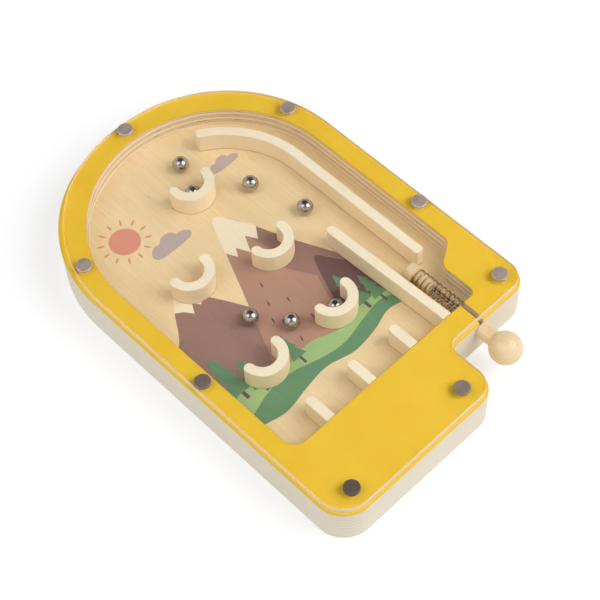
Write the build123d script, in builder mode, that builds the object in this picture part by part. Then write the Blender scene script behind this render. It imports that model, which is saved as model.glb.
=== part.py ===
"""Tabletop pinball game: a wooden case under a clear cover, with ball cups and a spring plunger.

Millimetres, +Z up. The origin is at the middle of the case's footprint, on the table. +Y runs up
the field to the arched end, and +X points to the plunger's side.
"""

import math
import os

from build123d import *

os.makedirs("parts", exist_ok=True)

# Case: a base board, a frame ring on it and a clear cover on the ring
case_width = 183.0
case_length = 283.0
base_thickness = 13.5
frame_thickness = 13.5
cover_thickness = 4.0
cover_inset = 1.5
arch_flat = 15.0
cover_arch_flat = 6.0
border_width = 13.5
front_left_round = 18.5
lobe_round = 13.0
notch_round = 5.0
block_round = 12.5
frame_edge_round = 1.5
window_edge_round = 0.8
base_edge_round = 0.6
cover_edge_chamfer = 0.3

# Notch at the front right, where the knob stands, and the wall that the rod passes through
notch_width = 64.5
notch_depth = 35.0
rod_wall = 15.2

# Window in the frame, with a shoulder that turns balls from the return channel into the lane
window_round = 9.0
chamber_round = 4.0
shoulder_round = 7.0
shoulder_step = 15.3
shoulder_height = 25.2
shoulder_slope = 32.0

# Wooden pieces glued on the field
headroom = 0.2
glue_gap = 0.1
rail_width = 6.2
rail_end_round = 1.8
wood_edge_round = 0.4
channel_width = 13.3
rail_sweep = 61.3
rail_lead = 0.2
lane_width = 19.4
lane_wall_length = 90.1
lane_wall_lean = 2.1
divider_length = 18.3
cup_inner_radius = 8.2
cup_wall = 6.2

# Places on the field, as shares of the way across it, from the left wall to the guide rail, and of
# the way up it, from the front wall to the top of the arch
divider_shares = [0.202, 0.436, 0.671]
cup_shares = [(0.597, 0.783), (0.285, 0.570), (0.630, 0.498), (0.614, 0.252), (0.216, 0.251)]
cup_turns = [-6.0, 1.0, 7.0, 6.5, 6.0]
cups_with_ball = [True, False, False, True, False]
ball_shares = [(0.658, 0.867), (0.800, 0.683), (0.327, 0.372), (0.430, 0.288)]
lane_ball_share = 0.877
lane_ball_lead = 27.4

# Plunger: a turned head, a spring, a steel rod and a ball knob on one axis along Y
plunger_setback = 11.0
plunger_height = 6.1
head_diameter = 10.0
head_length = 6.0
head_edge_round = 1.0
spigot_diameter = 7.6
spigot_length = 12.5
rod_diameter = 2.6
rod_socket = 10.0
slot_clearance = 0.25
knob_diameter = 19.4
neck_diameter = 10.0
neck_length = 9.8
neck_round = 2.0
knob_gap = 0.2
spring_wire = 0.9
spring_clearance = 0.3
spring_turns = 11
spring_space = 34.5
spring_end_pitch = 1.6
spring_seat_gap = 0.1

# Balls
ball_diameter = 10.0
ball_gap = 0.15
pocket_bearing = 250.0

# Fasteners: sleeve nuts from above, screws from below
nut_head_diameter = 9.4
nut_head_height = 1.5
nut_head_chamfer = 0.3
sleeve_diameter = 5.0
sleeve_length = 22.0
sleeve_bore_depth = 16.0
screw_diameter = 3.0
screw_grip = 12.0
screw_head_diameter = 7.0
screw_head_height = 2.0
screw_head_recess = 0.5
screw_socket_width = 2.5
screw_socket_depth = 1.2
fit_clearance = 0.05
front_screw_setback = 12.0
block_screw_setback = 12.0
corner_screw_setback = 18.0
lobe_screw_setback = 16.5
side_screw_y = -27.4
arch_screw_angles = [18.5, 89.4, 161.5]

# Levels and lines that follow from the sizes above
floor_z = base_thickness
frame_top = floor_z + frame_thickness
cover_top = frame_top + cover_thickness
wall_height = frame_thickness - headroom
side = case_width / 2
front = -case_length / 2
arch_y = case_length / 2 - side
notch_x = side - notch_width
notch_y = front + notch_depth
field_front = notch_y + rod_wall
window_radius = side - border_width
border_middle = side - border_width / 2
chamber_x = window_radius - shoulder_step
shoulder_low_y = field_front + shoulder_height
shoulder_high_y = shoulder_low_y + shoulder_step * math.tan(math.radians(shoulder_slope))
plunger_x = chamber_x - plunger_setback
plunger_z = floor_z + plunger_height
collar_y = field_front + spring_space
head_front = collar_y + head_length
rail_outer = window_radius - channel_width
rail_inner = rail_outer - rail_width
rail_low_y = head_front + rail_lead
lane_tip_y = field_front + lane_wall_length - rail_width / 2
ball_radius = ball_diameter / 2
ball_z = floor_z + ball_gap + ball_radius

arch_screws = [
    (border_middle * math.cos(math.radians(a)), arch_y + border_middle * math.sin(math.radians(a)))
    for a in arch_screw_angles
]
screw_places = arch_screws + [
    (border_middle, side_screw_y),
    (-border_middle, side_screw_y),
    (side - block_screw_setback, notch_y + block_screw_setback),
    (notch_x - lobe_screw_setback, front + front_screw_setback),
    (corner_screw_setback - side, front + front_screw_setback),
]


def case_outline(inset, flat):
    """Face of the case's outline, inside the frame's outer edge, with a flat stretch atop the arch."""
    left = inset - side
    right = side - inset
    low = front + inset
    high = -low
    arch_round = right - flat / 2
    corners = [
        (left, high),
        (left, low),
        (notch_x - inset, low),
        (notch_x - inset, notch_y + inset),
        (right, notch_y + inset),
        (right, high),
    ]
    rounds = [
        arch_round,
        front_left_round - inset,
        lobe_round - inset,
        notch_round + inset,
        block_round - inset,
        arch_round,
    ]
    with BuildSketch() as outline:
        with BuildLine():
            FilletPolyline(*corners, radius=rounds, close=True)
        make_face()
    return outline.sketch


def window_outline():
    """Face of the frame's window: the field, the return channel and the plunger's chamber."""
    corners = [
        (-window_radius, arch_y),
        (-window_radius, field_front),
        (chamber_x, field_front),
        (chamber_x, shoulder_low_y),
        (window_radius, shoulder_high_y),
        (window_radius, arch_y),
    ]
    rounds = [window_round, chamber_round, shoulder_round, shoulder_round]
    with BuildSketch() as outline:
        with BuildLine():
            FilletPolyline(*corners, radius=rounds)
            CenterArc((0, arch_y), window_radius, 0, 180)
        make_face()
    return outline.sketch


def field_place(across, up):
    """Point of the field at the given shares of the way across and up it."""
    field_width = window_radius + rail_inner
    field_length = arch_y + window_radius - field_front
    return across * field_width - window_radius, up * field_length + field_front


frame_face = case_outline(0, arch_flat)
cover_face = case_outline(cover_inset, cover_arch_flat)
window_face = window_outline()
sleeve_hole_radius = sleeve_diameter / 2 + fit_clearance

# Base board, whose top is the field
with BuildPart() as base_board:
    with BuildSketch():
        add(frame_face)
    extrude(amount=base_thickness)
    fillet(base_board.faces().sort_by(Axis.Z)[0].edges(), base_edge_round)
    with BuildSketch():
        with Locations(*screw_places):
            Circle(sleeve_hole_radius)
    extrude(amount=base_thickness, mode=Mode.SUBTRACT)
    with BuildSketch():
        with Locations(*screw_places):
            Circle(screw_head_diameter / 2 + fit_clearance)
    extrude(amount=screw_head_recess + screw_head_height, mode=Mode.SUBTRACT)
base_board.part.label = "base_board"
export_step(base_board.part, "parts/base_board.step")

# Frame ring, with rounded top edges and an open-topped slot for the rod
slot_width = rod_diameter + 2 * slot_clearance
with BuildPart() as frame_ring:
    with BuildSketch(Plane.XY.offset(floor_z)):
        add(frame_face)
    extrude(amount=frame_thickness)
    fillet(frame_ring.faces().sort_by(Axis.Z)[-1].edges(), frame_edge_round)
    with BuildSketch(Plane.XY.offset(floor_z)):
        add(window_face)
    extrude(amount=frame_thickness, mode=Mode.SUBTRACT)
    fillet(frame_ring.faces().sort_by(Axis.Z)[-1].inner_wires()[0].edges(), window_edge_round)
    with BuildSketch(Plane.XZ.offset(-field_front)):
        with Locations((plunger_x, plunger_z)):
            Circle(slot_width / 2)
        with Locations((plunger_x, plunger_z)):
            Rectangle(slot_width, frame_top - plunger_z, align=(Align.CENTER, Align.MIN))
    extrude(amount=rod_wall, mode=Mode.SUBTRACT)
    with BuildSketch(Plane.XY.offset(floor_z)):
        with Locations(*screw_places):
            Circle(sleeve_hole_radius)
    extrude(amount=frame_thickness, mode=Mode.SUBTRACT)
frame_ring.part.label = "frame_ring"
export_step(frame_ring.part, "parts/frame_ring.step")

# Clear cover, inset from the frame's edge
with BuildPart() as clear_cover:
    with BuildSketch(Plane.XY.offset(frame_top)):
        add(cover_face)
    extrude(amount=cover_thickness)
    chamfer(clear_cover.faces().sort_by(Axis.Z)[-1].edges(), cover_edge_chamfer)
    with BuildSketch(Plane.XY.offset(frame_top)):
        with Locations(*screw_places):
            Circle(sleeve_hole_radius)
    extrude(amount=cover_thickness, mode=Mode.SUBTRACT)
clear_cover.part.label = "clear_cover"
export_step(clear_cover.part, "parts/clear_cover.step")

# Sleeve nuts: plain flat heads on the cover, each with a bored sleeve down into the base
with BuildPart() as cover_sleeve_nuts:
    with BuildSketch(Plane.XY.offset(cover_top)):
        with Locations(*screw_places):
            Circle(nut_head_diameter / 2)
    extrude(amount=nut_head_height)
    chamfer(cover_sleeve_nuts.faces().group_by(Axis.Z)[-1].edges(), nut_head_chamfer)
    with BuildSketch(Plane.XY.offset(cover_top - sleeve_length)):
        with Locations(*screw_places):
            Circle(sleeve_diameter / 2)
    extrude(amount=sleeve_length)
    with BuildSketch(Plane.XY.offset(cover_top - sleeve_length)):
        with Locations(*screw_places):
            Circle(screw_diameter / 2 + fit_clearance)
    extrude(amount=sleeve_bore_depth, mode=Mode.SUBTRACT)
cover_sleeve_nuts.part.label = "cover_sleeve_nuts"
export_step(cover_sleeve_nuts.part, "parts/cover_sleeve_nuts.step")

# Screws from below, with hexagon sockets, whose heads lie sunk in the base
screw_seat = screw_head_recess + screw_head_height
with BuildPart() as base_screws:
    with BuildSketch(Plane.XY.offset(screw_head_recess)):
        with Locations(*screw_places):
            Circle(screw_head_diameter / 2)
    extrude(amount=screw_head_height)
    with BuildSketch(Plane.XY.offset(screw_seat)):
        with Locations(*screw_places):
            Circle(screw_diameter / 2)
    extrude(amount=cover_top - sleeve_length + screw_grip - screw_seat)
    with BuildSketch(Plane.XY.offset(screw_head_recess)):
        with Locations(*screw_places):
            RegularPolygon(screw_socket_width / 2, 6, major_radius=False)
    extrude(amount=screw_socket_depth, mode=Mode.SUBTRACT)
base_screws.part.label = "base_screws"
export_step(base_screws.part, "parts/base_screws.step")

# Guide rail, concentric with the arch, then straight down the field
rail_cos = math.cos(math.radians(rail_sweep))
rail_sin = math.sin(math.radians(rail_sweep))
with BuildPart() as guide_rail:
    with BuildSketch(Plane.XY.offset(floor_z)):
        with BuildLine():
            CenterArc((0, arch_y), rail_outer, 0, rail_sweep)
            CenterArc((0, arch_y), rail_inner, 0, rail_sweep)
            Line(
                (rail_outer * rail_cos, arch_y + rail_outer * rail_sin),
                (rail_inner * rail_cos, arch_y + rail_inner * rail_sin),
            )
            Polyline(
                (rail_outer, arch_y),
                (rail_outer, rail_low_y),
                (rail_inner, rail_low_y),
                (rail_inner, arch_y),
            )
        make_face()
    extrude(amount=wall_height)
    rail_ends = guide_rail.edges().filter_by(Axis.Z)
    fillet(rail_ends.sort_by(Axis.Y)[:2] + rail_ends.sort_by(Axis.Y)[-2:], rail_end_round)
    fillet(guide_rail.faces().sort_by(Axis.Z)[-1].edges(), wood_edge_round)
guide_rail.part.label = "guide_rail"
export_step(guide_rail.part, "parts/guide_rail.step")

# Lane wall: leans a little, rounded at the top and cut square against the frame at the front
lane_wall_x = chamber_x - lane_width - rail_width / 2
lane_shift = math.tan(math.radians(lane_wall_lean))
lane_half = rail_width / 2
with BuildPart() as lane_wall:
    with BuildSketch(Plane.XY.offset(floor_z)):
        with BuildLine() as lane_middle:
            Line(
                (lane_wall_x + lane_half * lane_shift, field_front - lane_half),
                (lane_wall_x - (lane_tip_y - field_front) * lane_shift, lane_tip_y),
            )
        SlotArc(lane_middle.edge(), rail_width)
        with Locations((lane_wall_x, field_front + glue_gap)):
            Rectangle(
                2 * rail_width,
                2 * rail_width,
                align=(Align.CENTER, Align.MAX),
                mode=Mode.SUBTRACT,
            )
    extrude(amount=wall_height)
    fillet(lane_wall.faces().sort_by(Axis.Z)[-1].edges(), wood_edge_round)
lane_wall.part.label = "lane_wall"
export_step(lane_wall.part, "parts/lane_wall.step")

# Score dividers: short straight walls, rounded at the top
for number, divider_share in enumerate(divider_shares, 1):
    divider_x, divider_y = field_place(divider_share, 0)
    with BuildPart() as score_divider:
        with BuildSketch(Plane.XY.offset(floor_z)):
            with Locations((divider_x, divider_y + glue_gap)):
                Rectangle(
                    rail_width,
                    divider_length - glue_gap - rail_width / 2,
                    align=(Align.CENTER, Align.MIN),
                )
            with Locations((divider_x, divider_y + divider_length - rail_width / 2)):
                Circle(rail_width / 2)
        extrude(amount=wall_height)
        fillet(score_divider.faces().sort_by(Axis.Z)[-1].edges(), wood_edge_round)
    score_divider.part.label = f"score_divider_{number}"
    export_step(score_divider.part, f"parts/score_divider_{number}.step")

# Ball cups: half rings with rounded tips, open up the field, each turned a little
cup_middle_radius = cup_inner_radius + cup_wall / 2
cup_places = [field_place(across, up) for across, up in cup_shares]
for number, ((cup_x, cup_y), cup_turn) in enumerate(zip(cup_places, cup_turns), 1):
    with BuildPart() as ball_cup:
        with BuildSketch(Plane((cup_x, cup_y, floor_z))):
            with BuildLine() as cup_middle:
                CenterArc((0, 0), cup_middle_radius, 180 + cup_turn, 180)
            SlotArc(cup_middle.edge(), cup_wall)
        extrude(amount=wall_height)
        fillet(ball_cup.faces().sort_by(Axis.Z)[-1].edges(), wood_edge_round)
    ball_cup.part.label = f"ball_cup_{number}"
    export_step(ball_cup.part, f"parts/ball_cup_{number}.step")

# Plunger: the turned pieces are half profiles, radius against Y, revolved about the plunger's axis
turning_plane = Plane((plunger_x, 0, plunger_z))
turning_axis = Axis((plunger_x, 0, plunger_z), (0, 1, 0))
socket_radius = rod_diameter / 2 + fit_clearance
head_radius = head_diameter / 2
spigot_radius = spigot_diameter / 2
spigot_y = collar_y - spigot_length
with BuildPart() as plunger_head:
    with BuildSketch(turning_plane):
        with BuildLine():
            Polyline(
                (0, spigot_y + rod_socket),
                (socket_radius, spigot_y + rod_socket),
                (socket_radius, spigot_y),
                (spigot_radius, spigot_y),
                (spigot_radius, collar_y),
                (head_radius, collar_y),
                (head_radius, head_front),
                (0, head_front),
                close=True,
            )
        make_face()
    revolve(axis=turning_axis)
    fillet(plunger_head.faces().sort_by(Axis.Y)[-1].edges(), head_edge_round)
plunger_head.part.label = "plunger_head"
export_step(plunger_head.part, "parts/plunger_head.step")

neck_y = notch_y - knob_gap
neck_radius = neck_diameter / 2
knob_radius = knob_diameter / 2
knob_y = neck_y - neck_length - math.sqrt(knob_radius**2 - neck_radius**2)
blend_x = neck_radius + neck_round
blend_y = knob_y + math.sqrt((knob_radius + neck_round) ** 2 - blend_x**2)
blend_share = knob_radius / (knob_radius + neck_round)
blend_end = (blend_x * blend_share, knob_y + (blend_y - knob_y) * blend_share)
with BuildPart() as plunger_knob:
    with BuildSketch(turning_plane):
        with BuildLine():
            Polyline(
                (0, knob_y - knob_radius),
                (0, neck_y - rod_socket),
                (socket_radius, neck_y - rod_socket),
                (socket_radius, neck_y),
                (neck_radius, neck_y),
                (neck_radius, blend_y),
            )
            TangentArc((neck_radius, blend_y), blend_end, tangent=(0, -1))
            ThreePointArc(blend_end, (knob_radius, knob_y), (0, knob_y - knob_radius))
        make_face()
    revolve(axis=turning_axis)
plunger_knob.part.label = "plunger_knob"
export_step(plunger_knob.part, "parts/plunger_knob.step")

with BuildPart() as plunger_rod:
    with BuildSketch(Plane.XZ.offset(rod_socket - neck_y)):
        with Locations((plunger_x, plunger_z)):
            Circle(rod_diameter / 2)
    extrude(amount=neck_y - rod_socket - (spigot_y + rod_socket))
plunger_rod.part.label = "plunger_rod"
export_step(plunger_rod.part, "parts/plunger_rod.step")

# Spring: one wire, a closed turn at each end and open turns between, in quarter-turn biarcs
spring_radius = spigot_diameter / 2 + spring_clearance + spring_wire / 2
spring_rise = spring_space - 2 * spring_seat_gap - spring_wire
end_quarters = 4
open_quarters = 4 * spring_turns - 2 * end_quarters
end_rise = spring_end_pitch / 4
open_rise = (spring_rise - 2 * spring_end_pitch) / open_quarters
quarter_rises = [end_rise] * end_quarters + [open_rise] * open_quarters + [end_rise] * end_quarters
spring_start_y = field_front + spring_seat_gap + spring_wire / 2


def spring_point(quarter):
    """Place of the wire's middle after so many quarter turns."""
    angle = quarter * math.pi / 2
    rise = sum(quarter_rises[:quarter])
    return Vector(
        plunger_x + spring_radius * math.cos(angle),
        spring_start_y + rise,
        plunger_z + spring_radius * math.sin(angle),
    )


def spring_direction(quarter):
    """Direction of the wire there, with the mean rise of the quarter turns on both sides."""
    angle = quarter * math.pi / 2
    beside = quarter_rises[max(quarter - 1, 0) : quarter + 1]
    slope = sum(beside) / len(beside) / (math.pi / 2)
    return Vector(
        -spring_radius * math.sin(angle), slope, spring_radius * math.cos(angle)
    ).normalized()


def biarc_joint(start, start_direction, end, end_direction):
    """Point where two arcs meet that leave start and reach end as given, and their direction there."""
    chord = end - start
    along = chord.dot(start_direction + end_direction)
    bend = 2 * (1 - start_direction.dot(end_direction))
    reach = (math.sqrt(along**2 + bend * chord.dot(chord)) - along) / bend
    before = start + start_direction * reach
    after = end - end_direction * reach
    return (before + after) / 2, (after - before).normalized()


quarter_count = len(quarter_rises)
first_point = spring_point(0)
last_point = spring_point(quarter_count)
with BuildPart() as plunger_spring:
    with BuildLine() as spring_line:
        Line(first_point - spring_direction(0) * spring_wire, first_point)
        for quarter in range(quarter_count):
            arc_start = spring_point(quarter)
            arc_end = spring_point(quarter + 1)
            start_direction = spring_direction(quarter)
            end_direction = spring_direction(quarter + 1)
            joint, joint_direction = biarc_joint(arc_start, start_direction, arc_end, end_direction)
            TangentArc(arc_start, joint, tangent=start_direction)
            TangentArc(joint, arc_end, tangent=joint_direction)
        Line(last_point, last_point + spring_direction(quarter_count) * spring_wire)
    with BuildSketch(spring_line.line ^ 0):
        Circle(spring_wire / 2)
    sweep(path=spring_line.wires()[0])
plunger_spring.part.label = "plunger_spring"
export_step(plunger_spring.part, "parts/plunger_spring.step")

# Least gap of the spring's wire to itself, measured on points a full half turn apart or more
samples_per_turn = 24
wire_points = [
    spring_line.wires()[0] @ (i / (spring_turns * samples_per_turn))
    for i in range(spring_turns * samples_per_turn + 1)
]
wire_gap = min(
    (wire_points[i] - wire_points[j]).length - spring_wire
    for i in range(len(wire_points))
    for j in range(i + samples_per_turn // 2, len(wire_points))
)
wire_volume = math.pi * (spring_wire / 2) ** 2 * spring_line.wires()[0].length
print(f"spring: least gap to itself {wire_gap:.2f} mm")
print(f"spring: volume {plunger_spring.part.volume:.1f}, section times length {wire_volume:.1f} mm3")

# Steel balls: the open ones first, one of them ahead of the lane wall, then those lying in the cups
open_ball_places = [field_place(across, up) for across, up in ball_shares]
lane_ball_x, _ = field_place(lane_ball_share, 0)
open_ball_places.insert(2, (lane_ball_x, lane_tip_y + lane_ball_lead))
pocket_reach = cup_inner_radius - ball_radius - ball_gap
pocket_x = pocket_reach * math.cos(math.radians(pocket_bearing))
pocket_y = pocket_reach * math.sin(math.radians(pocket_bearing))
cup_ball_places = [
    (cup_x + pocket_x, cup_y + pocket_y)
    for (cup_x, cup_y), with_ball in zip(cup_places, cups_with_ball)
    if with_ball
]
for number, (ball_x, ball_y) in enumerate(open_ball_places + cup_ball_places, 1):
    with BuildPart() as steel_ball:
        with Locations((ball_x, ball_y, ball_z)):
            Sphere(ball_radius)
    steel_ball.part.label = f"steel_ball_{number}"
    export_step(steel_ball.part, f"parts/steel_ball_{number}.step")
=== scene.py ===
"""Looks of the tabletop pinball game: finishes, the field's print and the plunger's spring.

Metres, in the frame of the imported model: +Z up, +Y up the field, +X to the plunger's side.
"""

import math

import bmesh
import bpy
from mathutils import Matrix, Vector


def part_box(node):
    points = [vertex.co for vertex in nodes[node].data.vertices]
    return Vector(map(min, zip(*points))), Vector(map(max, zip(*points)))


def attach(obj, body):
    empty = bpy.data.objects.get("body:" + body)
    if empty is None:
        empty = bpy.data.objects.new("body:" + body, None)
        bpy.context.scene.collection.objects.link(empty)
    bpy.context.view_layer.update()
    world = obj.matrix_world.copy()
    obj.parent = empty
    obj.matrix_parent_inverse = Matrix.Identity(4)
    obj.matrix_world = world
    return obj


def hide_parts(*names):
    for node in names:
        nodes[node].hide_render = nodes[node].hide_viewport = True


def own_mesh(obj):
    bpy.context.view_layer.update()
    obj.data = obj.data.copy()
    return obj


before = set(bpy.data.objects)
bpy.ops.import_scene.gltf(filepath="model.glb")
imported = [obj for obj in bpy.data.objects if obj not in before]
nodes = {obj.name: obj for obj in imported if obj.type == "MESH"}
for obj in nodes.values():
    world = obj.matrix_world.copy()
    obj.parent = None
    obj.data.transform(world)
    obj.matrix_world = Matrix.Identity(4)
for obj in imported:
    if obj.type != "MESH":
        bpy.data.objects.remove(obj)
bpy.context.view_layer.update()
scene = bpy.context.scene
scene.view_settings.view_transform = "Standard"

MM = 0.001
FLOOR_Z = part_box("base_board")[1].z


# Helpers for colours and shader nodes


def srgb(red, green, blue):
    """Linear colour of an sRGB one given in 0 to 255."""
    linear = []
    for value in (red, green, blue):
        share = value / 255
        linear.append(share / 12.92 if share <= 0.04045 else ((share + 0.055) / 1.055) ** 2.4)
    return (*linear, 1.0)


def grey(value):
    """Linear grey."""
    return (value, value, value, 1.0)


def add(tree, kind, settings=None, inputs=None):
    """New node, with its settings made and its inputs linked or set."""
    made = tree.nodes.new(kind)
    for key, value in (settings or {}).items():
        setattr(made, key, value)
    for key, value in (inputs or {}).items():
        if isinstance(value, bpy.types.NodeSocket):
            tree.links.new(value, made.inputs[key])
        else:
            made.inputs[key].default_value = value
    return made


def math_node(tree, operation, *values):
    """Output of a Math node."""
    return add(tree, "ShaderNodeMath", {"operation": operation}, dict(enumerate(values))).outputs[0]


def vector_value(tree, operation, *vectors):
    """Number that a Vector Math node gives."""
    inputs = dict(enumerate(vectors))
    return add(tree, "ShaderNodeVectorMath", {"operation": operation}, inputs).outputs["Value"]


def component(tree, vector, axis):
    """One component of a vector."""
    return add(tree, "ShaderNodeSeparateXYZ", inputs={"Vector": vector}).outputs[axis]


# The Mix node repeats its sockets' names for each type of value, so those for colours go by number
MIX_SHARE = 0
MIX_FIRST = 6
MIX_SECOND = 7
MIX_RESULT = 2


def mix(tree, share, first, second):
    """Output of a colour mix."""
    inputs = {MIX_SHARE: share, MIX_FIRST: first, MIX_SECOND: second}
    return add(tree, "ShaderNodeMix", {"data_type": "RGBA"}, inputs).outputs[MIX_RESULT]


def ramp(tree, share, *stops):
    """Output of a colour ramp with the given (place, colour) stops."""
    made = add(tree, "ShaderNodeValToRGB", inputs={"Fac": share})
    points = made.color_ramp.elements
    while len(points) < len(stops):
        points.new(1.0)
    for point, (position, colour) in zip(points, stops):
        point.position = position
        point.color = colour
    return made.outputs["Color"]


def span(tree, value, low, high, out_low=0.0, out_high=1.0):
    """Value taken from one range to another, and held inside it."""
    inputs = {"Value": value, "From Min": low, "From Max": high, "To Min": out_low, "To Max": out_high}
    return add(tree, "ShaderNodeMapRange", {"clamp": True}, inputs).outputs["Result"]


def place(tree):
    """Place on the piece, in metres of the model's frame at rest."""
    return add(tree, "ShaderNodeTexCoord").outputs["Object"]


def surface_normal(tree):
    """Direction that the surface faces."""
    return add(tree, "ShaderNodeNewGeometry").outputs["Normal"]


def facing_up(tree, low, high):
    """Share from 0 on upright walls to 1 on faces that look up."""
    return span(tree, component(tree, surface_normal(tree), "Z"), low, high)


def lying_flat(tree, low, high):
    """Share from 0 on upright walls to 1 on faces that look up or down."""
    upward = component(tree, surface_normal(tree), "Z")
    return span(tree, math_node(tree, "ABSOLUTE", upward), low, high)


# Range that a noise mostly keeps to, and its middle
NOISE_SPAN = (0.3, 0.7)
NOISE_MIDDLE = 0.5


def even(scale):
    """Scale that is the same along X, Y and Z."""
    return (scale, scale, scale)


def stretched_noise(tree, scale, detail, roughness, distortion=0.0):
    """Noise with its own scale per metre along X, Y and Z."""
    mapping = add(tree, "ShaderNodeMapping", inputs={"Vector": place(tree), "Scale": scale})
    inputs = {
        "Vector": mapping.outputs["Vector"],
        "Scale": 1.0,
        "Detail": detail,
        "Roughness": roughness,
        "Distortion": distortion,
    }
    return add(tree, "ShaderNodeTexNoise", inputs=inputs).outputs["Fac"]


def bump(tree, height, depth, strength):
    """Normal bent by a height."""
    inputs = {"Height": height, "Distance": depth, "Strength": strength}
    return add(tree, "ShaderNodeBump", inputs=inputs).outputs["Normal"]


# Helpers for materials and pieces


def emptied(owner):
    """Node tree of a material or a world, with no nodes left in it."""
    owner.use_nodes = True
    owner.node_tree.nodes.clear()
    return owner.node_tree


def material(name):
    """New material: the material, its tree and its Principled shader."""
    made = bpy.data.materials.new(name)
    tree = emptied(made)
    output = add(tree, "ShaderNodeOutputMaterial")
    shader = add(tree, "ShaderNodeBsdfPrincipled")
    tree.links.new(shader.outputs["BSDF"], output.inputs["Surface"])
    return made, tree, shader


def surface(tree, shader, colour, height, rough, depth, strength):
    """Links a shader's colour, and a roughness and a bump that follow one height."""
    tree.links.new(colour, shader.inputs["Base Color"])
    tree.links.new(span(tree, height, *NOISE_SPAN, *rough), shader.inputs["Roughness"])
    tree.links.new(bump(tree, height, depth, strength), shader.inputs["Normal"])


def dress(made, *names):
    """Gives CAD nodes a material."""
    for name in names:
        slots = nodes[name].data.materials
        slots.clear()
        slots.append(made)


def numbered(stem, count):
    """Names of nodes that differ by their number."""
    return [f"{stem}_{number}" for number in range(1, count + 1)]


def finished_mesh(name, made):
    """Mesh of a bmesh, which is then freed."""
    mesh = bpy.data.meshes.new(name)
    made.to_mesh(mesh)
    made.free()
    return mesh


def piece(name, mesh, made):
    """New piece of the object, riding on the case."""
    mesh.materials.append(made)
    obj = bpy.data.objects.new(name, mesh)
    scene.collection.objects.link(obj)
    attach(obj, "case")
    return obj


# Woods

# Fine streaks along the grain, slow clouds, and flecks with scales that are multiples of the streaks'
STREAKS = {"detail": 5.0, "roughness": 0.62, "distortion": 0.3}
STREAK_SPAN = (0.34, 0.70)
STREAK_WEIGHT = 0.62
CLOUD_SCALE = (26.0, 17.0, 26.0)
CLOUD_SPAN = (0.32, 0.70)
CLOUD_WEIGHT = 0.38
FLECK_ACROSS = 0.8
FLECK_ALONG = 5
FLECK_SPAN = (0.66, 0.78)
FLECK_STRENGTH = 0.30
FLECK_SHADE = 0.62


def face_wood(tree, light, dark, across, along):
    """Colour of a wood face with its grain along Y, and the grain's height: streaks, flecks and clouds."""
    fleck_scale = (across * FLECK_ACROSS, along * FLECK_ALONG, across * FLECK_ACROSS)
    streaks = stretched_noise(tree, (across, along, across), **STREAKS)
    flecks = stretched_noise(tree, fleck_scale, detail=2.0, roughness=0.5)
    clouds = stretched_noise(tree, CLOUD_SCALE, detail=3.0, roughness=0.5)
    streak_share = math_node(tree, "MULTIPLY", span(tree, streaks, *STREAK_SPAN), STREAK_WEIGHT)
    cloud_share = math_node(tree, "MULTIPLY", span(tree, clouds, *CLOUD_SPAN), CLOUD_WEIGHT)
    colour = mix(tree, math_node(tree, "ADD", streak_share, cloud_share), light, dark)
    fleck_share = span(tree, flecks, *FLECK_SPAN, out_high=FLECK_STRENGTH)
    deep = (*[channel * FLECK_SHADE for channel in dark[:3]], 1.0)
    return mix(tree, fleck_share, colour, deep), streaks


# Waves in the plies, as high as a share of their period, fibres, and voids in the dark ply of each pair
WAVE_SCALE = (38.0, 38.0, 90.0)
WAVE_HEIGHT = 0.3
FIBRE_SCALE = (330.0, 330.0, 2600.0)
FIBRE_SPAN = (0.40, 0.75)
FIBRE_STRENGTH = 0.45
VOID_SCALE = (85.0, 85.0, 700.0)
VOID_BLUR = 0.05
VOID_STRENGTH = 0.8
DARK_PLY_SPAN = (0.50, 0.58)


def ply_edge(tree, period, light, dark, glue, void, void_low):
    """Colour of a plywood edge: pairs of plies by height, glue lines between them, dark voids."""
    waves = stretched_noise(tree, WAVE_SCALE, detail=2.0, roughness=0.5)
    centred = math_node(tree, "SUBTRACT", waves, NOISE_MIDDLE)
    shift = math_node(tree, "MULTIPLY", centred, period * WAVE_HEIGHT)
    height = math_node(tree, "ADD", component(tree, place(tree), "Z"), shift)
    turn = math_node(tree, "FRACT", math_node(tree, "DIVIDE", height, period))
    plies = ramp(
        tree,
        turn,
        (0.0, glue),
        (0.05, light),
        (0.46, light),
        (0.50, glue),
        (0.55, dark),
        (0.95, dark),
        (1.0, glue),
    )
    fibres = stretched_noise(tree, FIBRE_SCALE, detail=4.0, roughness=0.6)
    colour = mix(tree, span(tree, fibres, *FIBRE_SPAN, out_high=FIBRE_STRENGTH), plies, dark)
    stripes = stretched_noise(tree, VOID_SCALE, detail=3.0, roughness=0.6)
    voids = span(tree, stripes, void_low, void_low + VOID_BLUR, out_high=VOID_STRENGTH)
    void_share = math_node(tree, "MULTIPLY", voids, span(tree, turn, *DARK_PLY_SPAN))
    return mix(tree, void_share, colour, void)


def outer_edge(tree):
    """Plywood edge on the outside: sanded pale, with faint plies."""
    return ply_edge(
        tree,
        period=3.0 * MM,
        light=srgb(240, 232, 214),
        dark=srgb(230, 219, 198),
        glue=srgb(204, 186, 160),
        void=srgb(164, 140, 112),
        void_low=0.72,
    )


def inner_edge(tree):
    """Plywood edge round the window: thicker, warmer plies with brown glue lines and voids."""
    return ply_edge(
        tree,
        period=4.5 * MM,
        light=srgb(252, 238, 212),
        dark=srgb(234, 209, 174),
        glue=srgb(144, 108, 78),
        void=srgb(104, 70, 46),
        void_low=0.62,
    )


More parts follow.
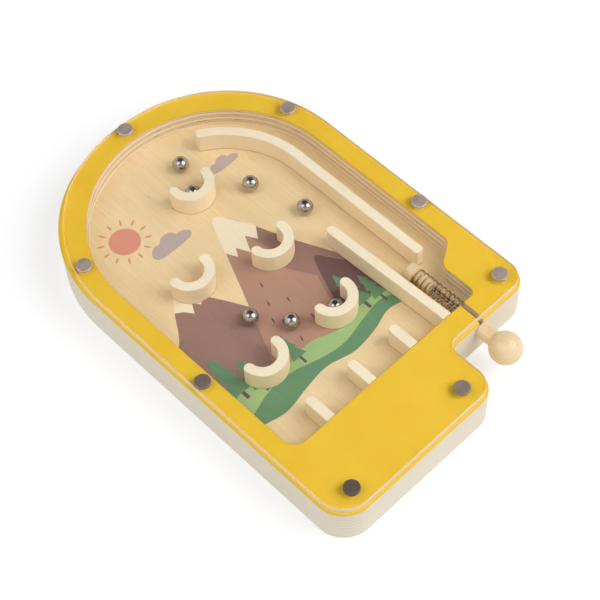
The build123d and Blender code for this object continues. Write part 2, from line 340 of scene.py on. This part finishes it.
# Base board: the field's face above, plywood edges round it
FIELD_ACROSS = 900.0
FIELD_ALONG = 34.0
field, tree, shader = material("field_plywood")
face_colour, face_height = face_wood(
    tree, srgb(240, 215, 171), srgb(226, 198, 150), across=FIELD_ACROSS, along=FIELD_ALONG
)
board_colour = mix(tree, lying_flat(tree, low=0.35, high=0.65), outer_edge(tree), face_colour)
surface(tree, shader, board_colour, face_height, rough=(0.52, 0.66), depth=0.04 * MM, strength=0.4)
dress(field, "base_board")

# Frame: lacquer on its top face and rounded edges, bare plywood below, warmer round the window
BARE_ROUGHNESS = 0.62
LACQUER_ROUGHNESS = 0.36
INWARD = -4.0 * MM
lacquered, tree, shader = material("lacquered_plywood")
outward = vector_value(tree, "DOT_PRODUCT", surface_normal(tree), place(tree))
edge_colour = mix(tree, span(tree, outward, INWARD, 0.0), inner_edge(tree), outer_edge(tree))
lacquer_clouds = stretched_noise(tree, even(45.0), detail=3.0, roughness=0.5)
lacquer_share = span(tree, lacquer_clouds, low=0.35, high=0.65)
lacquer = mix(tree, lacquer_share, srgb(232, 192, 55), srgb(229, 187, 48))
paint_share = facing_up(tree, low=0.06, high=0.16)
frame_roughness = span(tree, paint_share, 0.0, 1.0, BARE_ROUGHNESS, LACQUER_ROUGHNESS)
peel = stretched_noise(tree, even(700.0), detail=2.0, roughness=0.5)
tree.links.new(mix(tree, paint_share, edge_colour, lacquer), shader.inputs["Base Color"])
tree.links.new(frame_roughness, shader.inputs["Roughness"])
tree.links.new(bump(tree, peel, depth=0.03 * MM, strength=0.35), shader.inputs["Normal"])
shader.inputs["Specular IOR Level"].default_value = 0.25
dress(lacquered, "frame_ring")

# Glued pieces: pale wood, with a thin line of painted shade at the field where they stand on it, and sides
# painted warmer as if lit by the field
CONTACT_SHADE_LOW = FLOOR_Z + 0.20 * MM
CONTACT_SHADE_HIGH = FLOOR_Z + 0.45 * MM
pale, tree, shader = material("pale_wood")
top_colour, pale_height = face_wood(
    tree, srgb(243, 229, 203), srgb(236, 219, 189), across=1100.0, along=60.0
)
# Sides get a warmer, lighter colour than the top: painted bounce light from the field
pale_colour = mix(tree, facing_up(tree, low=0.2, high=0.8), srgb(252, 232, 194), top_colour)
# Painted contact shade: a brown line in the lowest half millimetre of each piece, where it meets the field
above_contact_shade = span(tree, component(tree, place(tree), "Z"), CONTACT_SHADE_LOW, CONTACT_SHADE_HIGH)
contact_shaded_colour = mix(tree, above_contact_shade, srgb(150, 112, 72), pale_colour)
surface(tree, shader, contact_shaded_colour, pale_height, rough=(0.50, 0.62), depth=0.04 * MM, strength=0.5)
dress(pale, "guide_rail", "lane_wall", *numbered("score_divider", 3), *numbered("ball_cup", 5))

# Plunger's head and knob: turned wood under a thin clear coat
turned, tree, shader = material("turned_wood")
turned_colour, turned_height = face_wood(
    tree, srgb(243, 218, 175), srgb(231, 200, 154), across=620.0, along=60.0
)
surface(tree, shader, turned_colour, turned_height, rough=(0.36, 0.46), depth=0.03 * MM, strength=0.4)
shader.inputs["Coat Weight"].default_value = 0.35
shader.inputs["Coat Roughness"].default_value = 0.18
dress(turned, "plunger_head", "plunger_knob")


# Clear cover: acrylic that lets the lamps through, with sawn edges that look frosted, and on its back and
# right sides a painted yellow that stands in for the lacquer seen through the clear edges

BACK_RIGHT = Vector((0.66, 0.75, 0.0))
ACRYLIC_IOR = 1.49
ACRYLIC_TINT = (0.985, 0.99, 0.985, 1.0)
SHADOW_TINT = (0.97, 0.972, 0.97, 1.0)
EDGE_ROUGHNESS = 0.45
EDGE_TRANSMISSION = 0.20
CONTACT_GAP = 0.02 * MM

acrylic = bpy.data.materials.new("clear_acrylic")
tree = emptied(acrylic)
output = add(tree, "ShaderNodeOutputMaterial")
shader = add(tree, "ShaderNodeBsdfPrincipled")
shader.inputs["IOR"].default_value = ACRYLIC_IOR
flat_share = lying_flat(tree, low=0.5, high=0.9)
# Back and right edges get a painted reflection: the lacquer's yellow, as if seen through the clear edge
toward_back = vector_value(tree, "DOT_PRODUCT", surface_normal(tree), BACK_RIGHT)
painted_yellow_share = span(tree, toward_back, low=-0.1, high=0.3)
frosted_and_painted_yellow = mix(tree, painted_yellow_share, srgb(252, 226, 184), srgb(246, 208, 90))
clear_colour = mix(tree, flat_share, frosted_and_painted_yellow, ACRYLIC_TINT)
clear_roughness = span(tree, flat_share, 0.0, 1.0, EDGE_ROUGHNESS, 0.0)
transmission = span(tree, flat_share, 0.0, 1.0, EDGE_TRANSMISSION, 1.0)
tree.links.new(clear_colour, shader.inputs["Base Color"])
tree.links.new(clear_roughness, shader.inputs["Roughness"])
tree.links.new(transmission, shader.inputs["Transmission Weight"])
clear = add(tree, "ShaderNodeBsdfTransparent", inputs={"Color": SHADOW_TINT})
shadow_ray = add(tree, "ShaderNodeLightPath").outputs["Is Shadow Ray"]
both = add(tree, "ShaderNodeMixShader", inputs={0: shadow_ray})
tree.links.new(shader.outputs["BSDF"], both.inputs[1])
tree.links.new(clear.outputs["BSDF"], both.inputs[2])
tree.links.new(both.outputs["Shader"], output.inputs["Surface"])

# Acrylic panel in the cover's place, a hair smaller all round, so that its faces lie on no other
panel_mesh = nodes["clear_cover"].data.copy()
panel_mesh.name = "acrylic_panel"
panel_mesh.materials.clear()
panel = piece("acrylic_panel", panel_mesh, acrylic)
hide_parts("clear_cover")
shrink = panel.modifiers.new("contact_gap", "DISPLACE")
shrink.strength = -CONTACT_GAP
shrink.mid_level = 0.0


# Metals

METAL_BUMP = 0.4
FRONT_LEFT_DARK_STRENGTH = 0.9
FRONT_LEFT = Vector((-85, -100, 32.5)) * MM
FRONT_LEFT_DARK_NEAR = 40 * MM
FRONT_LEFT_DARK_FAR = 170 * MM


def metal(name, light, dark, rough, brushing, depth, front_left_dark=None):
    """Metal with fine brushing and slow clouds, and darker towards the front left if given a colour for
    that.
    """
    made, tree, shader = material(name)
    brushed = stretched_noise(tree, brushing, detail=4.0, roughness=0.6)
    clouds = stretched_noise(tree, even(180.0), detail=3.0, roughness=0.55)
    colour = mix(tree, span(tree, clouds, *NOISE_SPAN), light, dark)
    if front_left_dark is not None:
        away = vector_value(tree, "DISTANCE", place(tree), FRONT_LEFT)
        share = span(tree, away, FRONT_LEFT_DARK_NEAR, FRONT_LEFT_DARK_FAR, FRONT_LEFT_DARK_STRENGTH, 0.0)
        colour = mix(tree, share, colour, front_left_dark)
    shader.inputs["Metallic"].default_value = 1.0
    surface(tree, shader, colour, brushed, rough, depth, METAL_BUMP)
    return made


nut_steel = metal(
    "nut_steel",
    srgb(222, 206, 194),
    srgb(194, 177, 164),
    rough=(0.52, 0.68),
    brushing=(500.0, 2600.0, 500.0),
    depth=0.01 * MM,
    front_left_dark=srgb(108, 96, 88),
)
screw_steel = metal(
    "screw_steel",
    srgb(196, 192, 188),
    srgb(170, 166, 162),
    rough=(0.30, 0.42),
    brushing=even(1500.0),
    depth=0.01 * MM,
)
# Steel rod with a warm brown colour: painted reflection of the yellow slot walls and painted shade of the
# slot
rod_steel = metal(
    "rod_steel",
    srgb(178, 142, 106),
    srgb(144, 110, 80),
    rough=(0.18, 0.28),
    brushing=(2600.0, 300.0, 2600.0),
    depth=0.01 * MM,
)
spring_steel = metal(
    "spring_steel",
    srgb(220, 202, 176),
    srgb(150, 124, 98),
    rough=(0.09, 0.16),
    brushing=even(900.0),
    depth=0.01 * MM,
)
ball_steel = metal(
    "ball_steel",
    srgb(190, 184, 182),
    srgb(178, 171, 168),
    rough=(0.03, 0.07),
    brushing=even(900.0),
    depth=0.002 * MM,
)
dress(nut_steel, "cover_sleeve_nuts")
dress(screw_steel, "base_screws")
dress(rod_steel, "plunger_rod")
dress(ball_steel, *numbered("steel_ball", 7))


# Plunger's spring: one wire with a closer turn at each end

WIRE = 0.9 * MM
WIRE_SIDES = 12
TURNS = 11
STEPS_PER_TURN = 44
END_PITCH = 1.6 * MM
spring_low, spring_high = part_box("plunger_spring")
spring_length = spring_high.y - spring_low.y
spring_x = (spring_low.x + spring_high.x) / 2
spring_z = (spring_low.z + spring_high.z) / 2
spring_radius = (spring_high.x - spring_low.x - WIRE) / 2
open_pitch = (spring_length - WIRE - 2 * END_PITCH) / (TURNS - 2)


def spring_point(turn):
    """Middle of the wire after so many turns."""
    angle = 2 * math.pi * turn
    first = min(turn, 1.0)
    last = max(turn - (TURNS - 1), 0.0)
    rise = (first + last) * END_PITCH + (turn - first - last) * open_pitch
    return Vector(
        (
            spring_x + spring_radius * math.cos(angle),
            spring_low.y + WIRE / 2 + rise,
            spring_z + spring_radius * math.sin(angle),
        )
    )


def wire_mesh(name, points, radius, sides):
    """Closed tube along the points, smooth along its sides and flat at both ends."""
    made = bmesh.new()
    rings = []
    side = None
    for index, point in enumerate(points):
        before = points[max(index - 1, 0)]
        after = points[min(index + 1, len(points) - 1)]
        ahead = (after - before).normalized()
        if side is None:
            side = ahead.orthogonal().normalized()
        side = (side - ahead * side.dot(ahead)).normalized()
        other = ahead.cross(side)
        ring = []
        for corner in range(sides):
            angle = 2 * math.pi * corner / sides
            offset = side * math.cos(angle) + other * math.sin(angle)
            ring.append(made.verts.new(point + offset * radius))
        rings.append(ring)
    for low_ring, high_ring in zip(rings, rings[1:]):
        for corner in range(sides):
            after = (corner + 1) % sides
            made.faces.new((low_ring[corner], low_ring[after], high_ring[after], high_ring[corner]))
    made.faces.new(list(reversed(rings[0])))
    made.faces.new(rings[-1])
    bmesh.ops.recalc_face_normals(made, faces=made.faces)
    for face in made.faces:
        face.smooth = len(face.verts) == 4
    return finished_mesh(name, made)


spring_line = [spring_point(step / STEPS_PER_TURN) for step in range(TURNS * STEPS_PER_TURN + 1)]
spring_mesh = wire_mesh("coil_spring", spring_line, WIRE / 2, WIRE_SIDES)
spring = piece("coil_spring", spring_mesh, spring_steel)
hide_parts("plunger_spring")
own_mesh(spring)


# Print on the field: hills, peaks, trees, a sun and clouds, as thin layers of ink. Places in millimetres

# The print ends a little off the field's left and front walls, and under the lane wall
LAYER = 0.016 * MM
PRINT_LEFT = -77.6
PRINT_FRONT = -90.8
PRINT_RIGHT = 37
INK_GRAIN = 0.5
INK_ROUGHNESS = (0.50, 0.62)


def ink(name, colour, deep):
    """Matt ink through which the wood's grain shows a little."""
    made, tree, shader = material(name)
    streaks = stretched_noise(tree, (FIELD_ACROSS, FIELD_ALONG, FIELD_ACROSS), **STREAKS)
    specks = stretched_noise(tree, even(1500.0), detail=2.0, roughness=0.6)
    streak_share = span(tree, streaks, low=0.35, high=0.70, out_high=INK_GRAIN)
    speck_share = span(tree, specks, low=0.45, high=0.70, out_high=INK_GRAIN)
    ink_colour = mix(tree, math_node(tree, "ADD", streak_share, speck_share), colour, deep)
    tree.links.new(ink_colour, shader.inputs["Base Color"])
    tree.links.new(span(tree, specks, *NOISE_SPAN, *INK_ROUGHNESS), shader.inputs["Roughness"])
    tree.links.new(bump(tree, streaks, depth=0.03 * MM, strength=0.4), shader.inputs["Normal"])
    return made


INKS = {
    "brown": ink("ink_brown", srgb(181, 140, 119), srgb(171, 129, 109)),
    "mauve": ink("ink_mauve", srgb(156, 120, 109), srgb(146, 109, 99)),
    "deep": ink("ink_deep", srgb(112, 80, 76), srgb(102, 72, 68)),
    "grey": ink("ink_grey", srgb(190, 170, 164), srgb(180, 159, 153)),
    "cream": ink("ink_cream", srgb(244, 228, 200), srgb(236, 217, 186)),
    "green": ink("ink_green", srgb(104, 146, 108), srgb(92, 133, 98)),
    "leaf": ink("ink_leaf", srgb(160, 190, 128), srgb(148, 178, 118)),
    "rose": ink("ink_rose", srgb(222, 148, 126), srgb(214, 138, 118)),
}


def print_layer(name, outlines, colour, level):
    """Thin closed prisms of one ink on the field, one for each outline."""
    made = bmesh.new()
    low = FLOOR_Z - LAYER
    high = FLOOR_Z + LAYER * level
    for outline in outlines:
        bottom = [made.verts.new((point[0] * MM, point[1] * MM, low)) for point in outline]
        top = [made.verts.new((point[0] * MM, point[1] * MM, high)) for point in outline]
        count = len(outline)
        made.faces.new(list(reversed(bottom)))
        made.faces.new(top)
        for index in range(count):
            after = (index + 1) % count
            made.faces.new((bottom[index], bottom[after], top[after], top[index]))
    bmesh.ops.recalc_face_normals(made, faces=made.faces)
    bmesh.ops.triangulate(made, faces=[face for face in made.faces if len(face.verts) > 4])
    piece(name, finished_mesh(name, made), INKS[colour])


def curve_points(before, start, end, after, count):
    """Points from start up to, but not at, end, on a smooth curve through all four."""
    points = []
    for step in range(count):
        t = step / count
        points.append(
            0.5
            * (
                2 * start
                + (end - before) * t
                + (2 * before - 5 * start + 4 * end - after) * t**2
                + (3 * start - before - 3 * end + after) * t**3
            )
        )
    return points


NEIGHBOURS = (-1, 0, 1, 2)
OUTLINE_STEPS = 5
LINE_STEPS = 6


def smooth_outline(corners):
    """Closed outline through the corners, as a smooth curve."""
    count = len(corners)
    points = []
    for index in range(count):
        four = [Vector(corners[(index + step) % count]) for step in NEIGHBOURS]
        points += curve_points(*four, OUTLINE_STEPS)
    return points


def smooth_line(corners):
    """Points of a smooth curve through the corners, from the first to the last."""
    last = len(corners) - 1
    points = []
    for index in range(last):
        four = [Vector(corners[min(max(index + step, 0), last)]) for step in NEIGHBOURS]
        points += curve_points(*four, LINE_STEPS)
    return points + [Vector(corners[last])]


def inside(outline):
    """Outline kept off the field's left and front walls."""
    return [Vector((max(point[0], PRINT_LEFT), max(point[1], PRINT_FRONT))) for point in outline]


def with_flat_base(crest, base_y):
    """Outline of a hill: a smooth crest, given from left to right, over a straight base."""
    return inside(smooth_line(crest) + [Vector((crest[-1][0], base_y)), Vector((crest[0][0], base_y))])


def band(crest, base):
    """Outline of ground between two smooth lines, both given from left to right."""
    return inside(smooth_line(crest) + list(reversed(smooth_line(base))))


DISC_POINTS = 40


def disc(x, y, radius):
    """Outline of a circle."""
    turn = 2 * math.pi / DISC_POINTS
    points = []
    for index in range(DISC_POINTS):
        points.append(Vector((x + radius * math.cos(turn * index), y + radius * math.sin(turn * index))))
    return points


# Shares of a fir's half width and of its height
FIR_SHAPE = [
    (-1, 0), (1, 0), (0.42, 0.36), (0.78, 0.36), (0.34, 0.68), (0.54, 0.68),
    (0, 1), (-0.54, 0.68), (-0.34, 0.68), (-0.78, 0.36), (-0.42, 0.36),
]


def fir(x, y, wide, high):
    """Outline of a fir with three tiers."""
    return [Vector((x + wide / 2 * across, y + high * up)) for across, up in FIR_SHAPE]


def trunk(x, y, wide, high):
    """Outline of a fir's trunk."""
    return [
        Vector((x - wide / 2, y - high)),
        Vector((x + wide / 2, y - high)),
        Vector((x + wide / 2, y)),
        Vector((x - wide / 2, y)),
    ]


# Shares of a stroke's length and width
STROKE_SHAPE = [(-0.5, 0.15), (-0.2, 0.5), (0.2, 0.5), (0.5, 0.15)]


def dash(x, y, length, width, lean):
    """Outline of a short stroke with narrow ends."""
    along = Vector((math.sin(math.radians(lean)), math.cos(math.radians(lean))))
    across = Vector((along.y, -along.x))
    middle = Vector((x, y))
    points = []
    for share, wide in STROKE_SHAPE:
        points.append(middle + along * length * share + across * width * wide)
    for share, wide in reversed(STROKE_SHAPE):
        points.append(middle + along * length * share - across * width * wide)
    return points


CLOUD_SHAPE = [
    (-10, -3), (0, -3.6), (10, -3), (12.5, 0), (9, 3), (6, 3.2),
    (4, 6.4), (-1, 7), (-4.5, 4.6), (-8, 4.8), (-12, 1),
]


def cloud(x, y, size):
    """Outline of a flat-bottomed cloud."""
    return inside(smooth_outline([(x + size * across, y + size * up) for across, up in CLOUD_SHAPE]))


far_peak = [(PRINT_LEFT, 4), (-70, 10), (-60, 25), (-53, 34), (-48, 33), (-36, 15), (-24, -8), (-8, -40)]
right_slope = [(3, 57), (12, 42), (22, 16), (34, -10)]
main_peak = [(-52, -56), (-36, -22), (-22, 10), (-9, 40), (-2, 56)] + right_slope
main_shade = right_slope + [(36, -56), (18, -56), (9, -30), (15, -14), (6, 2), (10, 18), (5, 36)]
side_peak = [(2, -56), (12, -28), (21, -6), (25, -4), (30, -12), (PRINT_RIGHT, -22)]
far_cap = [
    (-60, 25.2), (-53.2, 34.4), (-50.6, 35.6), (-47.8, 33.6), (-41, 22.7),
    (-45, 19), (-48.5, 23), (-52, 17), (-55.5, 22),
]
main_cap = [
    (-11.5, 35.2), (-2.3, 56.4), (0.6, 59), (3.4, 57.6), (14.7, 37.2),
    (9, 29), (5, 36), (-0.5, 25), (-4.5, 33.5), (-8, 28),
]
far_ground = [
    (PRINT_LEFT, -42), (-60, -38), (-40, -45), (-20, -43), (0, -49), (20, -44), (PRINT_RIGHT, -47),
]
near_ground = [
    (PRINT_LEFT, -56), (-58, -50), (-40, -50), (-22, -55),
    (-6, -57), (14, -53), (28, -51), (PRINT_RIGHT, -54),
]
near_foot = [
    (PRINT_LEFT, -62), (-60, -66), (-42, -63), (-24, -61),
    (-6, -65), (12, -63), (26, -59), (PRINT_RIGHT, -61),
]
FAR_BASE = -50
MAIN_BASE = -58

print_layer("print_far_peak", [with_flat_base(far_peak, FAR_BASE)], "mauve", level=1)
print_layer("print_main_peak", [with_flat_base(main_peak, MAIN_BASE)], "brown", level=2)
print_layer("print_side_shade", [inside(main_shade)], "mauve", level=3)
print_layer("print_side_peak", [with_flat_base(side_peak, MAIN_BASE)], "deep", level=4)
print_layer("print_caps", [inside(far_cap), inside(main_cap)], "cream", level=4)
print_layer("print_far_ground", [with_flat_base(far_ground, MAIN_BASE)], "leaf", level=5)
print_layer("print_near_ground", [band(near_ground, near_foot)], "green", level=6)

# Each fir's foot, width and height
firs = [(-68, -40, 15, 30), (-57, -44, 12, 22), (-30, -46, 10, 19), (21, -46, 13, 26), (31, -49, 10, 19)]
TRUNK_SHARE = 0.16
TRUNK_HEIGHT = 5
trunks = [trunk(x, y, wide * TRUNK_SHARE, TRUNK_HEIGHT) for x, y, wide, high in firs]
print_layer("print_trunks", trunks, "deep", level=7)
print_layer("print_firs", [fir(*values) for values in firs], "green", level=8)

SUN_X = -47
SUN_Y = 83
SUN_RADIUS = 9.5
RAY_COUNT = 12
RAY_REACH = 14
print_layer("print_sun", [disc(SUN_X, SUN_Y, SUN_RADIUS)], "rose", level=1)
rays = []
for index in range(RAY_COUNT):
    bearing = 360 / RAY_COUNT * index
    turn = math.radians(bearing)
    ray_x = SUN_X + RAY_REACH * math.sin(turn)
    ray_y = SUN_Y + RAY_REACH * math.cos(turn)
    rays.append(dash(ray_x, ray_y, length=4.4, width=1.3, lean=bearing))
print_layer("print_rays", rays, "rose", level=1)
print_layer("print_clouds", [cloud(-29, 62, size=1.15), cloud(33, 84, size=0.85)], "grey", level=2)

# Middle of each stroke on the main peak, and its lean in degrees
strokes = [
    (-24, -18, 20), (-18, -8, 20), (-29, -30, 20), (-12, 4, 18), (-15, -24, 16),
    (-8, -14, 14), (-21, -38, 16), (-2, 12, 8), (-6, -32, 10), (-36, -40, 22),
]
stroke_outlines = [dash(x, y, length=4.2, width=1.0, lean=lean) for x, y, lean in strokes]
print_layer("print_strokes", stroke_outlines, "deep", level=3)


# Floor: pale, and lifted to white where the camera, mirrors and glass see it, fully so away from the case

FLOOR_HALF = 3.0
FLOOR_DROP = 0.05 * MM
FLOOR_LIT = grey(0.72)
FLOOR_SEEN = (0.62, 0.62, 0.63, 1.0)
GLOW_NEAR = 0.45
GLOW_FAR = 1.1
GLOW_AT_CASE = 0.48
floor_corners = [
    (-FLOOR_HALF, -FLOOR_HALF, 0),
    (FLOOR_HALF, -FLOOR_HALF, 0),
    (FLOOR_HALF, FLOOR_HALF, 0),
    (-FLOOR_HALF, FLOOR_HALF, 0),
]
floor_mesh = bpy.data.meshes.new("floor")
floor_mesh.from_pydata(floor_corners, [], [(0, 1, 2, 3)])
floor = bpy.data.objects.new("floor", floor_mesh)
floor.location.z = -FLOOR_DROP
scene.collection.objects.link(floor)
floor_paint = bpy.data.materials.new("floor_white")
tree = emptied(floor_paint)
output = add(tree, "ShaderNodeOutputMaterial")
ray_kind = add(tree, "ShaderNodeLightPath").outputs
seen = math_node(tree, "MAXIMUM", ray_kind["Is Camera Ray"], ray_kind["Is Glossy Ray"])
seen = math_node(tree, "MAXIMUM", seen, ray_kind["Is Transmission Ray"])
floor_colour = mix(tree, seen, FLOOR_LIT, FLOOR_SEEN)
matt = add(tree, "ShaderNodeBsdfDiffuse", inputs={"Color": floor_colour})
away = vector_value(tree, "LENGTH", place(tree))
glow = span(tree, away, GLOW_NEAR, GLOW_FAR, GLOW_AT_CASE, 1.0)
strength = math_node(tree, "MULTIPLY", seen, glow)
lift = add(tree, "ShaderNodeEmission", inputs={"Color": grey(1.0), "Strength": strength})
total = add(tree, "ShaderNodeAddShader")
tree.links.new(matt.outputs["BSDF"], total.inputs[0])
tree.links.new(lift.outputs["Emission"], total.inputs[1])
tree.links.new(total.outputs["Shader"], output.inputs["Surface"])
floor_mesh.materials.append(floor_paint)


# Camera, at the photograph's angle

AZIMUTH = math.radians(-41.551)
ELEVATION = math.radians(56.5)
ROLL = math.radians(-3.304)
TARGET = Vector((3.197, -11.147, -0.66)) * MM
CAMERA_DISTANCE = 0.980391
SENSOR_WIDTH = 36.0
LENS = 101.67
back = Vector(
    (
        math.sin(AZIMUTH) * math.cos(ELEVATION),
        -math.cos(AZIMUTH) * math.cos(ELEVATION),
        math.sin(ELEVATION),
    )
)
level_right = Vector((0, 0, 1)).cross(back).normalized()
level_up = back.cross(level_right)
right = level_right * math.cos(ROLL) + level_up * math.sin(ROLL)
up = level_up * math.cos(ROLL) - level_right * math.sin(ROLL)
camera_data = bpy.data.cameras.new("camera")
camera_data.sensor_fit = "HORIZONTAL"
camera_data.sensor_width = SENSOR_WIDTH
camera_data.lens = LENS
camera_data.clip_start = 0.05
camera_data.clip_end = 20.0
camera = bpy.data.objects.new("camera", camera_data)
axes = Matrix((right, up, back)).transposed().to_4x4()
camera.matrix_world = Matrix.Translation(TARGET + back * CAMERA_DISTANCE) @ axes
scene.collection.objects.link(camera)
scene.camera = camera


# Light: two broad soft lamps, to the camera's right and left, in a room with pale walls

# The dark side of the room is the one that the cover mirrors to the camera
LAMP_DISTANCE = 1.3
DARK_SIDE = Vector((0.366, 0.413, 0.834))
DARK_SPAN = (0.74, 0.90)


def lamp(name, direction, size, power):
    """Round area lamp that looks at the case from the given direction."""
    data = bpy.data.lights.new(name, "AREA")
    data.shape = "DISK"
    data.size = size
    data.energy = power
    obj = bpy.data.objects.new(name, data)
    toward = direction.normalized()
    obj.location = toward * LAMP_DISTANCE
    obj.rotation_mode = "QUATERNION"
    obj.rotation_quaternion = toward.to_track_quat("Z", "Y")
    obj.visible_camera = False
    scene.collection.objects.link(obj)


lamp("key", Vector((0.376, -0.536, 0.754)), size=1.00, power=8.0)
lamp("second", Vector((-0.522, 0.185, 0.832)), size=0.90, power=3.1)

world = bpy.data.worlds.new("room")
scene.world = world
tree = emptied(world)
output = add(tree, "ShaderNodeOutputWorld")
direction = add(tree, "ShaderNodeTexCoord").outputs["Generated"]
height = component(tree, direction, "Z")
walls = ramp(tree, height, (0.0, grey(1.0)), (0.45, grey(1.0)), (0.72, grey(0.40)), (1.0, grey(0.30)))
toward_dark = vector_value(tree, "DOT_PRODUCT", direction, DARK_SIDE)
sky = mix(tree, span(tree, toward_dark, *DARK_SPAN), walls, grey(0.07))
room = add(tree, "ShaderNodeBackground", inputs={"Color": sky, "Strength": 1.0})
tree.links.new(room.outputs["Background"], output.inputs["Surface"])
